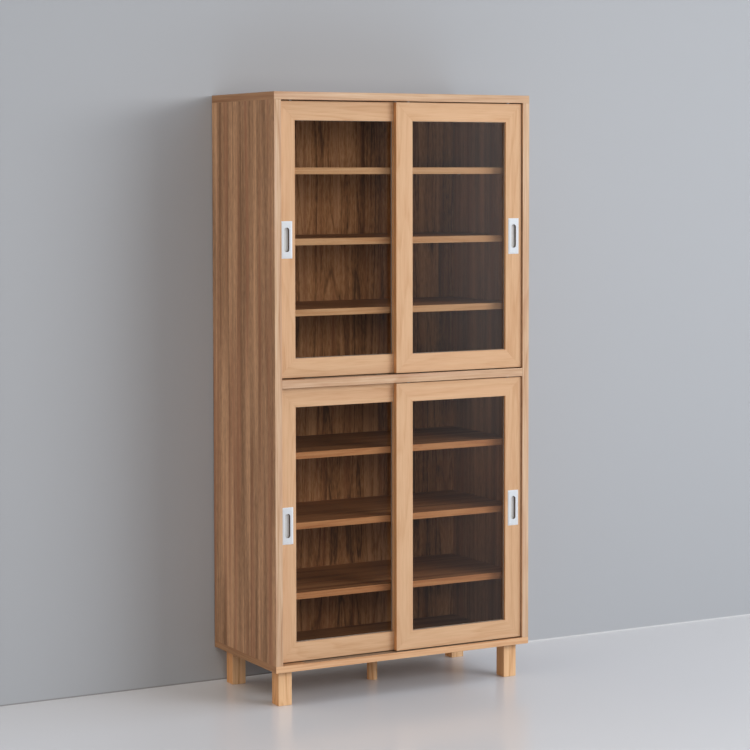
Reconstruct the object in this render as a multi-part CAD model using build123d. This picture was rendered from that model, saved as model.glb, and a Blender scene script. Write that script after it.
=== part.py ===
from build123d import *
import os

# Kitchen cabinet with two tiers of glazed sliding doors, on four square legs and a round centre leg.
# Millimetres. X runs to the right, Y from the front to the back, Z up.
# The origin is on the floor, under the middle of the cabinet.

# ---------------------------------------------------------------- carcass
overall_width = 870.0
overall_depth = 430.0
overall_height = 1800.0
leg_height = 106.0
side_thickness = 23.0
top_thickness = 23.0
middle_thickness = 25.0
bottom_thickness = 20.0
carcass_edge_break = 0.7        # eased outer edges of the carcass
tongue_thickness = 9.0          # tongues of the side panels, held in the top and bottom panels
tongue_height = 8.0
tongue_setback = 14.0           # how far the joints stop short of the front edge
housing_depth = 6.0             # the middle panel's ends are let into the side panels
back_thickness = 4.0
back_inset = 6.0                # from the rear edge of the carcass to the back panel
back_groove_depth = 7.0

# ---------------------------------------------------------------- legs
leg_section = 44.0
leg_side_inset = 24.0
leg_front_inset = 34.0
leg_edge_break = 1.0
leg_foot_break = 1.0
centre_leg_diameter = 32.0
leg_bolt_diameter = 8.0
leg_bolt_in_leg = 36.0
leg_bolt_in_panel = 13.0

# ---------------------------------------------------------------- shelves
shelves_per_tier = 3
shelf_thickness = 20.0
shelf_side_clearance = 1.0
shelf_back_clearance = 0.3
shelf_front_gap = 11.0          # between the rear doors and the shelves
shelf_drop = 8.0                # how far the shelves lie below an even spacing
shelf_edge_break = 0.5
pin_diameter = 7.0
pin_in_side = 9.0
pin_under_shelf = 9.0
pin_recess_depth = 3.5          # the shelf's underside is milled to sit over its pins
pin_recess_clearance = 0.5
pin_front_inset = 45.0          # from the shelf's front and back edges to its pins
pin_clearance = 0.05

# ---------------------------------------------------------------- doors
door_front_recess = 8.0         # from the carcass front to the face of the front doors
door_thickness = 16.0
door_plane_gap = 3.0            # between the front and the rear doors
door_bottom_gap = 3.0
door_top_gap = 3.0
door_side_clearance = 1.0
stile_width = 56.0
rail_width = 56.0
door_edge_break = 0.5
tenon_width = 34.0
tenon_height = 32.0
tenon_setback = 12.0

# ---------------------------------------------------------------- glazing
glass_thickness = 3.0
gasket_wall = 1.0
glazing_groove_setback = 8.0    # from the door's face to the groove
glazing_groove_depth = 8.0
gasket_lip = 1.0                # how far the gasket shows past the frame

# ---------------------------------------------------------------- flush pulls
pull_width = 37.0
pull_height = 109.0
pull_plate_thickness = 1.2
pull_bevel_width = 4.0          # the plate slopes down towards its edges
pull_bevel_depth = 0.8
pull_slot_width = 17.0
pull_slot_height = 72.0
pull_slot_depth = 9.0
pull_wall = 1.2
pull_pocket_clearance = 0.3

# ---------------------------------------------------------------- rollers and tracks
wheel_diameter = 24.0
wheel_width = 5.0
wheel_side_play = 0.7           # on both sides of the wheel, in its housing and in the track
wheel_inset = 100.0             # from the door's end to the axle
wheel_running_gap = 0.3         # above the track's floor
axle_diameter = 4.0
axle_clearance = 0.05
housing_headroom = 2.7          # between the wheel and the housing's roof
housing_end_gap = 2.0           # between the wheel and the housing's end blocks
housing_end_block = 10.0
housing_wall = 1.3
housing_roof = 2.0
flange_overhang = 9.0
flange_thickness = 1.5
track_width = 44.0              # one rail with two channels carries both doors of a tier
track_floor = 2.0
track_channel_depth = 6.0
track_corner_radius = 12.0
track_end_clearance = 13.0      # from a wheel's furthest reach to the end of the track
guide_inset = 45.0              # from the door's end to its top guide
guide_length = 8.0              # along the door
guide_width = 6.0
guide_edge_break = 1.0
guide_in_rail = 22.0
guide_in_groove = 6.0
guide_side_play = 0.5           # on both sides of the guide
guide_headroom = 4.0
guide_end_clearance = 6.0

# ---------------------------------------------------------------- places worked out from the sizes
half_width = overall_width / 2
half_depth = overall_depth / 2
inner_half_width = half_width - side_thickness
opening_height = (overall_height - leg_height - bottom_thickness - middle_thickness - top_thickness) / 2
bottom_top = leg_height + bottom_thickness
middle_bottom = bottom_top + opening_height
middle_top = middle_bottom + middle_thickness
top_bottom = middle_top + opening_height
back_front = half_depth - back_inset - back_thickness

door_width = inner_half_width + stile_width / 2 - door_side_clearance
door_height = opening_height - door_bottom_gap - door_top_gap
front_door_face = -half_depth + door_front_recess
rear_door_face = front_door_face + door_thickness + door_plane_gap
left_door_centre = -inner_half_width + door_side_clearance + door_width / 2
right_door_centre = -left_door_centre
pane_width = door_width - 2 * stile_width
glazing_groove_width = glass_thickness + 2 * gasket_wall
door_middle_y = door_thickness / 2

shelf_front = rear_door_face + door_thickness + shelf_front_gap
shelf_back = back_front - shelf_back_clearance
shelf_clear_height = (opening_height - shelves_per_tier * shelf_thickness) / (shelves_per_tier + 1)
shelf_spacing = shelf_clear_height + shelf_thickness
pin_rows = (shelf_front + pin_front_inset, shelf_back - pin_front_inset)

wheel_radius = wheel_diameter / 2
wheel_channel_width = wheel_width + 2 * wheel_side_play
wheel_axle_height = wheel_radius + wheel_running_gap - track_channel_depth - door_bottom_gap
housing_width = wheel_channel_width + 2 * housing_wall
housing_height = wheel_axle_height + wheel_radius + housing_headroom + housing_roof
housing_well_half = wheel_radius + housing_end_gap
housing_half_length = housing_well_half + housing_end_block
flange_half_length = housing_half_length + flange_overhang
door_reach = inner_half_width - door_side_clearance
track_height = track_floor + track_channel_depth
track_half_length = door_reach - wheel_inset + wheel_radius + track_end_clearance
door_lines = (front_door_face + door_middle_y, rear_door_face + door_middle_y)
track_middle_y = sum(door_lines) / 2
guide_groove_width = guide_width + 2 * guide_side_play
guide_groove_depth = guide_in_groove + guide_headroom
guide_half_length = door_reach - guide_inset + guide_length / 2 + guide_end_clearance


# ---------------------------------------------------------------- small helpers
def block(x_limits, y_limits, z_limits):
    """A box between two limits on each axis."""
    sizes = [high - low for low, high in (x_limits, y_limits, z_limits)]
    middle = [(low + high) / 2 for low, high in (x_limits, y_limits, z_limits)]
    return Pos(*middle) * Box(*sizes)


def upright(diameter, low, high):
    """A cylinder on the Z axis between two heights."""
    return Pos(0, 0, (low + high) / 2) * Cylinder(diameter / 2, high - low)


def across_x(diameter, low, high):
    """A cylinder on the X axis between two places."""
    return Pos((low + high) / 2, 0, 0) * Rot(0, 90, 0) * Cylinder(diameter / 2, high - low)


def across_y(diameter, low, high):
    """A cylinder on the Y axis between two places."""
    return Pos(0, (low + high) / 2, 0) * Rot(90, 0, 0) * Cylinder(diameter / 2, high - low)


def edges_along(shape, axis, x=None, y=None, z=None):
    """The shape's edges that run along an axis, at the given places on the other axes."""
    found = shape.edges().filter_by(axis)
    for value, name in ((x, "X"), (y, "Y"), (z, "Z")):
        if value is not None:
            found = ShapeList(e for e in found if abs(getattr(e.center(), name) - value) < 0.01)
    return found


def group(solids):
    """Separate solids kept together in one node."""
    return Compound(children=[solid for shape in solids for solid in shape.solids()])


# ---------------------------------------------------------------- shelves and their pins
def shelf_tops(tier_floor):
    """The heights of a tier's shelf tops, from the lowest up."""
    return [tier_floor + n * shelf_spacing - shelf_drop for n in range(1, shelves_per_tier + 1)]


def pin_height(shelf_top):
    """The height of the pins that carry a shelf."""
    return shelf_top - shelf_thickness + pin_recess_depth - pin_diameter / 2


def shelf(shelf_top):
    """A loose shelf, milled underneath over its four pins."""
    half_length = inner_half_width - shelf_side_clearance
    floor = shelf_top - shelf_thickness
    board = block((-half_length, half_length), (shelf_front, shelf_back), (floor, shelf_top))
    board = chamfer(edges_along(board, Axis.X, y=shelf_front), shelf_edge_break)
    slot_width = pin_diameter + 2 * pin_recess_clearance
    slot_reach = inner_half_width - pin_under_shelf - pin_recess_clearance
    for row in pin_rows:
        for side in (-1, 1):
            x_limits = sorted((side * slot_reach, side * (half_length + 1)))
            y_limits = (row - slot_width / 2, row + slot_width / 2)
            board -= block(x_limits, y_limits, (floor - 1, floor + pin_recess_depth))
    return board


def shelf_pins(all_tops):
    """Round shelf pins, half in a side panel and half under a shelf."""
    pin = across_x(pin_diameter, -pin_in_side, pin_under_shelf)
    pins = []
    for shelf_top in all_tops:
        for row in pin_rows:
            for side in (-1, 1):
                pins.append(Pos(side * inner_half_width, row, pin_height(shelf_top)) * pin)
    return group(pins)


# ---------------------------------------------------------------- carcass panels
def side_panel(all_tops):
    """The left side panel: tongues at both ends, housings for the middle and back panels, pin holes."""
    outside, inside = -half_width, -inner_half_width
    panel = block((outside, inside), (-half_depth, half_depth), (bottom_top, top_bottom))
    outer_edges = edges_along(panel, Axis.Z, x=outside) + edges_along(panel, Axis.Z, x=inside, y=-half_depth)
    panel = chamfer(outer_edges, carcass_edge_break)
    middle_x = (outside + inside) / 2
    panel += block(
        (middle_x - tongue_thickness / 2, middle_x + tongue_thickness / 2),
        (-half_depth + tongue_setback, half_depth - tongue_setback),
        (bottom_top - tongue_height, top_bottom + tongue_height),
    )
    panel -= block(
        (inside - housing_depth, inside + 1),
        (-half_depth + tongue_setback, back_front),
        (middle_bottom, middle_top),
    )
    panel -= block(
        (inside - back_groove_depth, inside + 1),
        (back_front, back_front + back_thickness),
        (bottom_top, top_bottom),
    )
    hole = across_x(pin_diameter + 2 * pin_clearance, inside - pin_in_side, inside + 1)
    for shelf_top in all_tops:
        for row in pin_rows:
            panel -= Pos(0, row, pin_height(shelf_top)) * hole
    return panel


def end_panel(outer_face, inner_face):
    """The top or bottom panel, over the ends of the side panels."""
    z_limits = sorted((outer_face, inner_face))
    panel = block((-half_width, half_width), (-half_depth, half_depth), z_limits)
    inward = 1 if inner_face > outer_face else -1
    outside = panel.faces().sort_by(Axis.Z)[0 if inward > 0 else -1]
    edges = panel.edges().filter_by(Axis.Z) + outside.edges()
    edges += edges_along(panel, Axis.X, y=-half_depth, z=inner_face)
    panel = chamfer(edges, carcass_edge_break)
    tongue_limits = sorted((inner_face - inward * tongue_height, inner_face + inward))
    back_limits = sorted((inner_face - inward * back_groove_depth, inner_face + inward))
    for side in (-1, 1):
        middle_x = side * (half_width - side_thickness / 2)
        panel -= block(
            (middle_x - tongue_thickness / 2, middle_x + tongue_thickness / 2),
            (-half_depth + tongue_setback, half_depth - tongue_setback),
            tongue_limits,
        )
    panel -= block(
        (-inner_half_width - back_groove_depth, inner_half_width + back_groove_depth),
        (back_front, back_front + back_thickness),
        back_limits,
    )
    return panel


def middle_panel():
    """The fixed panel between the two tiers, housed in the side panels behind their front edges."""
    panel = block(
        (-inner_half_width, inner_half_width), (-half_depth, back_front), (middle_bottom, middle_top)
    )
    panel = chamfer(edges_along(panel, Axis.X, y=-half_depth), shelf_edge_break)
    half_housed = inner_half_width + housing_depth
    panel += block(
        (-half_housed, half_housed), (-half_depth + tongue_setback, back_front), (middle_bottom, middle_top)
    )
    return panel


def back_panel():
    """One thin panel over both tiers, held in grooves on all four sides."""
    half_length = inner_half_width + back_groove_depth
    return block(
        (-half_length, half_length),
        (back_front, back_front + back_thickness),
        (bottom_top - back_groove_depth, top_bottom + back_groove_depth),
    )


def leg_places():
    """The centre of each square leg, by name."""
    x = half_width - leg_side_inset - leg_section / 2
    y = half_depth - leg_front_inset - leg_section / 2
    return {
        "leg_front_left": (-x, -y),
        "leg_front_right": (x, -y),
        "leg_back_left": (-x, y),
        "leg_back_right": (x, y),
    }


def square_leg():
    """A square leg with eased edges and a bore for its bolt."""
    half = leg_section / 2
    leg = block((-half, half), (-half, half), (0, leg_height))
    leg = chamfer(leg.edges().filter_by(Axis.Z), leg_edge_break)
    leg = chamfer(leg.faces().sort_by(Axis.Z)[0].edges(), leg_foot_break)
    return leg - upright(leg_bolt_diameter, leg_height - leg_bolt_in_leg, leg_height + 1)


def centre_leg():
    """The round leg that keeps the bottom panel from sagging."""
    leg = upright(centre_leg_diameter, 0, leg_height)
    return leg - upright(leg_bolt_diameter, leg_height - leg_bolt_in_leg, leg_height + 1)


# ---------------------------------------------------------------- tracks and guide grooves
def groove(half_length, width, line, low, high):
    """The space of a straight groove along X, centred on a door's plane."""
    return block((-half_length, half_length), (line - width / 2, line + width / 2), (low, high))


def track_space(low, high):
    """The rounded outline of a track between two heights."""
    outline = RectangleRounded(2 * track_half_length, track_width, track_corner_radius)
    return Pos(0, track_middle_y, low) * extrude(outline, high - low)


def track(floor):
    """A rail with a channel for each door, let into a panel and flush with its top face."""
    rail = track_space(floor - track_height, floor)
    depths = (floor - track_channel_depth, floor + 1)
    for line in door_lines:
        rail -= groove(track_half_length + 1, wheel_channel_width, line, *depths)
    return rail


def cut_for_guides(panel, ceiling):
    """Grooves for the doors' top guides in a panel's lower face."""
    depths = (ceiling - 1, ceiling + guide_groove_depth)
    for line in door_lines:
        panel -= groove(guide_half_length, guide_groove_width, line, *depths)
    return panel


# ---------------------------------------------------------------- door frame
# A door is built about its own middle: X across it, Y = 0 on its face and growing to the back, Z = 0 at
# its lower edge.
def mitred_frame():
    """The whole door frame before it is parted at the mitres, with its glazing groove."""
    half = door_width / 2
    pane_half = pane_width / 2
    pane_z = (rail_width, door_height - rail_width)
    ring = block((-half, half), (0, door_thickness), (0, door_height))
    ring -= block((-pane_half, pane_half), (-1, door_thickness + 1), pane_z)
    by_depth = ring.edges().group_by(Axis.Y)
    ring = chamfer(by_depth[0] + by_depth[-1], door_edge_break)
    return ring - glazing_space(glazing_groove_depth, glazing_groove_width)


def glazing_space(reach, width):
    """A plate in the glazing plane that reaches past the frame's inner edge; negative falls short of it."""
    half = pane_width / 2 + reach
    groove_middle = glazing_groove_setback + glazing_groove_width / 2
    return block(
        (-half, half),
        (groove_middle - width / 2, groove_middle + width / 2),
        (rail_width - reach, door_height - rail_width + reach),
    )


def member_space(outer_start, outer_end, inner_end, inner_start):
    """The mitred outline of one frame member, as deep as the door."""
    outline = Polyline(outer_start, outer_end, inner_end, inner_start, close=True)
    face = Plane.XZ * make_face(outline)
    return extrude(face, door_thickness + 2, dir=(0, 1, 0)).moved(Pos(0, -1, 0))


def corner_tenon(side, at_top):
    """The tenon of a rail that enters the stile behind the mitre."""
    outer_x, inner_x = door_width / 2 - tenon_setback, door_width / 2 - tenon_setback - tenon_width
    low, high = tenon_setback, tenon_setback + tenon_height
    if at_top:
        low, high = door_height - high, door_height - low
    x_limits = sorted((side * inner_x, side * outer_x))
    y_limits = (glazing_groove_setback, glazing_groove_setback + glazing_groove_width)
    return block(x_limits, y_limits, (low, high))


def frame_members():
    """The two stiles and two rails of a door, mitred and tenoned."""
    ring = mitred_frame()
    half, pane_half = door_width / 2, pane_width / 2
    pane_low, pane_high = rail_width, door_height - rail_width
    outer = {"low_left": (-half, 0), "low_right": (half, 0)}
    outer.update({"high_left": (-half, door_height), "high_right": (half, door_height)})
    inner = {"low_left": (-pane_half, pane_low), "low_right": (pane_half, pane_low)}
    inner.update({"high_left": (-pane_half, pane_high), "high_right": (pane_half, pane_high)})
    ends = {
        "stile_left": ("low_left", "high_left"),
        "stile_right": ("low_right", "high_right"),
        "rail_bottom": ("low_left", "low_right"),
        "rail_top": ("high_left", "high_right"),
    }
    members = {}
    for name, (start, end) in ends.items():
        members[name] = ring & member_space(outer[start], outer[end], inner[end], inner[start])
    for side, stile in ((-1, "stile_left"), (1, "stile_right")):
        for at_top, rail in ((False, "rail_bottom"), (True, "rail_top")):
            tenon = corner_tenon(side, at_top)
            members[stile] -= tenon
            members[rail] += tenon
    return members


# ---------------------------------------------------------------- flush pull
def obround_space(width, height, front, back):
    """An upright slot shape between two depths, at the door's mid height."""
    outline = Pos(0, door_height / 2) * SlotOverall(height, width, rotation=90)
    return extrude(Plane.XZ * outline, back - front, dir=(0, 1, 0)).moved(Pos(0, front, 0))


def pull():
    """A flush pull: a bevelled plate on the door's face with a slot-shaped cup behind it."""
    z_middle = door_height / 2
    plate = block(
        (-pull_width / 2, pull_width / 2),
        (-pull_plate_thickness, 0),
        (z_middle - pull_height / 2, z_middle + pull_height / 2),
    )
    face = plate.faces().sort_by(Axis.Y)[0]
    plate = chamfer(face.edges(), pull_bevel_width, pull_bevel_depth, reference=face)
    slot_floor = pull_slot_depth - pull_plate_thickness
    cup = obround_space(
        pull_slot_width + 2 * pull_wall,
        pull_slot_height + 2 * pull_wall,
        -pull_plate_thickness / 2,
        slot_floor + pull_wall,
    )
    slot = obround_space(pull_slot_width, pull_slot_height, -pull_plate_thickness - 1, slot_floor)
    return plate + cup - slot


def pull_pocket():
    """The pocket in the stile behind a pull."""
    margin = 2 * (pull_wall + pull_pocket_clearance)
    deep = pull_slot_depth - pull_plate_thickness + pull_wall + pull_pocket_clearance
    return obround_space(pull_slot_width + margin, pull_slot_height + margin, -1, deep)


# ---------------------------------------------------------------- rollers and guides
def roller_places():
    """Where a door's axles are, from its middle."""
    return (-(door_width / 2 - wheel_inset), door_width / 2 - wheel_inset)


def roller_pocket():
    """The pocket in the bottom rail for a roller housing and its flange."""
    half_y = housing_width / 2
    y_limits = (door_middle_y - half_y, door_middle_y + half_y)
    body = block((-housing_half_length, housing_half_length), y_limits, (-1, housing_height))
    return body + block((-flange_half_length, flange_half_length), y_limits, (-1, flange_thickness))


def roller_housing():
    """A housing that is open below for its wheel, with an end flange for screws and a riveted axle."""
    half_y, half_gap = housing_width / 2, wheel_channel_width / 2
    y_limits = (door_middle_y - half_y, door_middle_y + half_y)
    body = block((-housing_half_length, housing_half_length), y_limits, (0, housing_height))
    body += block((-flange_half_length, flange_half_length), y_limits, (0, flange_thickness))
    body -= block(
        (-housing_well_half, housing_well_half),
        (door_middle_y - half_gap, door_middle_y + half_gap),
        (-1, housing_height - housing_roof),
    )
    axle = across_y(axle_diameter, -half_gap, half_gap)
    return body + Pos(0, door_middle_y, wheel_axle_height) * axle


def wheel():
    """A plain wheel that turns on the axle of its housing."""
    tread = across_y(wheel_diameter, -wheel_width / 2, wheel_width / 2)
    bore = across_y(axle_diameter + 2 * axle_clearance, -wheel_width, wheel_width)
    return Pos(0, door_middle_y, wheel_axle_height) * (tread - bore)


def guide():
    """A top guide: a tab, held in the rail, that runs in the groove of the panel above."""
    tab = block(
        (-guide_length / 2, guide_length / 2),
        (door_middle_y - guide_width / 2, door_middle_y + guide_width / 2),
        (door_height - guide_in_rail, door_height + door_top_gap + guide_in_groove),
    )
    return chamfer(tab.faces().sort_by(Axis.Z)[-1].edges(), guide_edge_break)


def door_parts(pull_side):
    """All pieces of one door. The pull is on the left stile for -1 and on the right one for 1."""
    parts = frame_members()
    pull_x = pull_side * (door_width - stile_width) / 2
    pull_stile = "stile_left" if pull_side < 0 else "stile_right"
    parts[pull_stile] -= Pos(pull_x, 0, 0) * pull_pocket()
    guide_x = door_width / 2 - guide_inset
    fittings = []
    for x in roller_places():
        parts["rail_bottom"] -= Pos(x, 0, 0) * roller_pocket()
        fittings.append(Pos(x, 0, 0) * roller_housing())
    for x in (-guide_x, guide_x):
        fittings.append(Pos(x, 0, 0) * guide())
        parts["rail_top"] -= fittings[-1]
    glass = glazing_space(glazing_groove_depth - gasket_wall, glass_thickness)
    gasket = glazing_space(glazing_groove_depth, glazing_groove_width)
    gasket -= glazing_space(-gasket_lip, glazing_groove_width + 2)
    parts["glass"] = glass
    parts["gasket"] = gasket - glass
    parts["pull"] = Pos(pull_x, 0, 0) * pull()
    parts["fittings"] = group(fittings)
    for name, x in zip(("wheel_left", "wheel_right"), roller_places()):
        parts[name] = Pos(x, 0, 0) * wheel()
    return parts


# ---------------------------------------------------------------- assembly
def build_carcass():
    """Panels, shelves, pins, tracks and legs."""
    tops = {"lower": shelf_tops(bottom_top), "upper": shelf_tops(middle_top)}
    all_tops = tops["lower"] + tops["upper"]
    left_side = side_panel(all_tops)
    bottom = end_panel(leg_height, bottom_top)
    bottom -= track_space(bottom_top - track_height, bottom_top + 1)
    middle = middle_panel() - track_space(middle_top - track_height, middle_top + 1)
    middle = cut_for_guides(middle, middle_bottom)
    top = end_panel(overall_height, top_bottom)
    top = cut_for_guides(top, top_bottom)
    bolt = upright(leg_bolt_diameter, leg_height - leg_bolt_in_leg, leg_height + leg_bolt_in_panel)
    legs = {name: Pos(*place) * square_leg() for name, place in leg_places().items()}
    legs["leg_centre"] = centre_leg()
    bolts = [Pos(*place) * bolt for place in (*leg_places().values(), (0, 0))]
    for one_bolt in bolts:
        bottom -= one_bolt
    carcass = {
        "side_panel_left": left_side,
        "side_panel_right": left_side.mirror(Plane.YZ),
        "top_panel": top,
        "middle_panel": middle,
        "bottom_panel": bottom,
        "back_panel": back_panel(),
        "shelf_pins": shelf_pins(all_tops),
        "door_tracks": group([track(bottom_top), track(middle_top)]),
        "leg_bolts": group(bolts),
        **legs,
    }
    for tier, tier_tops in tops.items():
        for level, shelf_top in zip(("low", "middle", "high"), tier_tops):
            carcass[f"shelf_{tier}_{level}"] = shelf(shelf_top)
    return carcass


def build_doors():
    """The four doors: the left ones run on the rear tracks, the right ones on the front tracks."""
    doors = {}
    for side, centre, face, pull_side in (
        ("left", left_door_centre, rear_door_face, -1),
        ("right", right_door_centre, front_door_face, 1),
    ):
        parts = door_parts(pull_side)
        for tier, floor in (("lower", bottom_top), ("upper", middle_top)):
            place = Pos(centre, face, floor + door_bottom_gap)
            for name, shape in parts.items():
                doors[f"{tier}_{side}_{name}"] = place * shape
    return doors


os.makedirs("parts", exist_ok=True)
for node, shape in {**build_carcass(), **build_doors()}.items():
    export_step(shape, f"parts/{node}.step")
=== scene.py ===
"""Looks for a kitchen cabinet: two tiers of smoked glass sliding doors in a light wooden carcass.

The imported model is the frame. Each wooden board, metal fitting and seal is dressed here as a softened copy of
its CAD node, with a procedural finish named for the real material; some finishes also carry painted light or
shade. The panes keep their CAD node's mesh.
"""

from __future__ import annotations

import logging
import math
from dataclasses import dataclass
from enum import Enum
from typing import Any, Callable, Iterable, Sequence

import bmesh
import bpy
from mathutils import Euler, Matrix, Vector

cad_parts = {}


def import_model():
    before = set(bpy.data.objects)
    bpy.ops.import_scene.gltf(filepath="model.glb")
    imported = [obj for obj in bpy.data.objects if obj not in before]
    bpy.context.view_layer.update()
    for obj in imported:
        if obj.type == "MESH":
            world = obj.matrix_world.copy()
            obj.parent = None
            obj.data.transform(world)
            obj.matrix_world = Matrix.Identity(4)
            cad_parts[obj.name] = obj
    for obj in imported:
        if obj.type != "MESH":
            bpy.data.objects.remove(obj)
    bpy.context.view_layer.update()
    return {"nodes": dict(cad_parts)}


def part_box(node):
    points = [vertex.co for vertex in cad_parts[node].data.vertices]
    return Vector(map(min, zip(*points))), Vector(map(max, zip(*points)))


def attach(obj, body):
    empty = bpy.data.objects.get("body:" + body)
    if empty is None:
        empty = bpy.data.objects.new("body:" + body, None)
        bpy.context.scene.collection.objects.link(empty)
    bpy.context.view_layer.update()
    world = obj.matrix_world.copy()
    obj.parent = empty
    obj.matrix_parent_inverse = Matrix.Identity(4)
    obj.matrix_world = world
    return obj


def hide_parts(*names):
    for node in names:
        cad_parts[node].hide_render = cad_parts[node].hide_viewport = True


LOG = logging.getLogger("cabinet")
MM = 0.001
FACING = 0.6  # a face looks a certain way when the part of its normal along that way is more than this
SQUARE_ON = 0.9  # and looks straight that way, as no rounded edge does, when the part is more than this
RIM = 0.5  # a seal's face belongs to its rim when its normal's part along Y is less than this
ROUGH_EDGE = (0.3, 0.7)  # the noise values between which a surface's roughness changes


class Tier(Enum):
    """The two halves of the cabinet."""

    LOWER = "lower"
    UPPER = "upper"


class Side(Enum):
    """Left or right: of a tier's doors, of the side panels, or of a door's wheels."""

    LEFT = "left"
    RIGHT = "right"


class Level(Enum):
    """A tier's three shelves."""

    LOW = "low"
    MIDDLE = "middle"
    HIGH = "high"


class Grain(Enum):
    """The direction a board's fibres run in."""

    X = 0
    Y = 1
    Z = 2

    def scale(self, across_mm: float, along_mm: float) -> tuple[float, float, float]:
        """The Mapping scale that makes a unit pattern this wide across the grain and this long along it.

        Args:
            across_mm: Size of one feature across the fibres.
            along_mm: Size of one feature along the fibres.

        Returns:
            Scale for coordinates in metres.
        """
        scale = [1 / (across_mm * MM)] * 3
        scale[self.value] = 1 / (along_mm * MM)
        return tuple(scale)


# ---------------------------------------------------------------- small helpers
def linear(colour: str) -> tuple[float, float, float, float]:
    """Turns an sRGB hex colour into linear RGBA, by the standard's curve.

    Args:
        colour: A colour such as "#D2B190".

    Returns:
        Linear red, green, blue and an alpha of 1.
    """
    parts = [int(colour[i : i + 2], 16) / 255 for i in (1, 3, 5)]
    return (*(p / 12.92 if p <= 0.04045 else ((p + 0.055) / 1.055) ** 2.4 for p in parts), 1.0)


def add(tree: bpy.types.NodeTree, kind: str, inputs: dict[Any, Any] | None = None, **settings: Any) -> Any:
    """Adds one node with its settings and links.

    Args:
        tree: The node tree to add to.
        kind: The node's type name, such as "ShaderNodeTexNoise".
        inputs: A value or another node's output socket for each named or numbered input.
        **settings: Attributes of the node. "stops" gives a colour ramp's stops as (place, hex colour).

    Returns:
        The new node.
    """
    node = tree.nodes.new(kind)
    stops = settings.pop("stops", None)
    for name, value in settings.items():
        setattr(node, name, value)
    for name, value in (inputs or {}).items():
        if isinstance(value, bpy.types.NodeSocket):
            tree.links.new(value, node.inputs[name])
        else:
            node.inputs[name].default_value = value
    if stops:
        elements = node.color_ramp.elements
        while len(elements) < len(stops):
            elements.new(0.5)  # anywhere, because each gets its place below
        for element, (place, colour) in zip(elements, stops):
            element.position = place
            element.color = linear(colour)
    return node


def on_front(face: bmesh.types.BMFace) -> int:
    """1 on a face that looks forwards, 0 elsewhere."""
    return int(face.normal.y < -FACING)


def on_front_or_end(face: bmesh.types.BMFace) -> int:
    """Tells a level board's long edges and its ends from its broad faces.

    Args:
        face: A face of the board.

    Returns:
        1 on a face that looks forwards or back, 2 on one that looks left or right, 0 elsewhere.
    """
    if abs(face.normal.y) > FACING:
        return 1
    return 2 if abs(face.normal.x) > FACING else 0


def on_side(face: bmesh.types.BMFace) -> int:
    """1 on a face that looks straight left or right, 0 elsewhere."""
    return int(abs(face.normal.x) > SQUARE_ON)


def on_rim(face: bmesh.types.BMFace) -> int:
    """1 on a face that looks sideways, up or down, 0 on one that looks forwards or back."""
    return int(abs(face.normal.y) < RIM)


# ---------------------------------------------------------------- finishes
@dataclass(frozen=True)
class Finish:
    """What a surface is made of. Subclasses wire their own pattern into the shader."""

    name: str

    def material(self) -> bpy.types.Material:
        """Builds the material the first time and finds it again afterwards.

        Returns:
            The material.
        """
        found = bpy.data.materials.get(self.name)
        if found:
            return found
        made = bpy.data.materials.new(self.name)
        made.use_nodes = True
        tree = made.node_tree
        tree.nodes.clear()
        shader = add(tree, "ShaderNodeBsdfPrincipled")
        add(tree, "ShaderNodeOutputMaterial", {"Surface": shader.outputs[0]})
        self.wire(tree, shader)
        return made

    def wire(self, tree: bpy.types.NodeTree, shader: bpy.types.Node) -> None:
        """Sets the shader's values and pattern."""
        raise NotImplementedError


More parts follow.
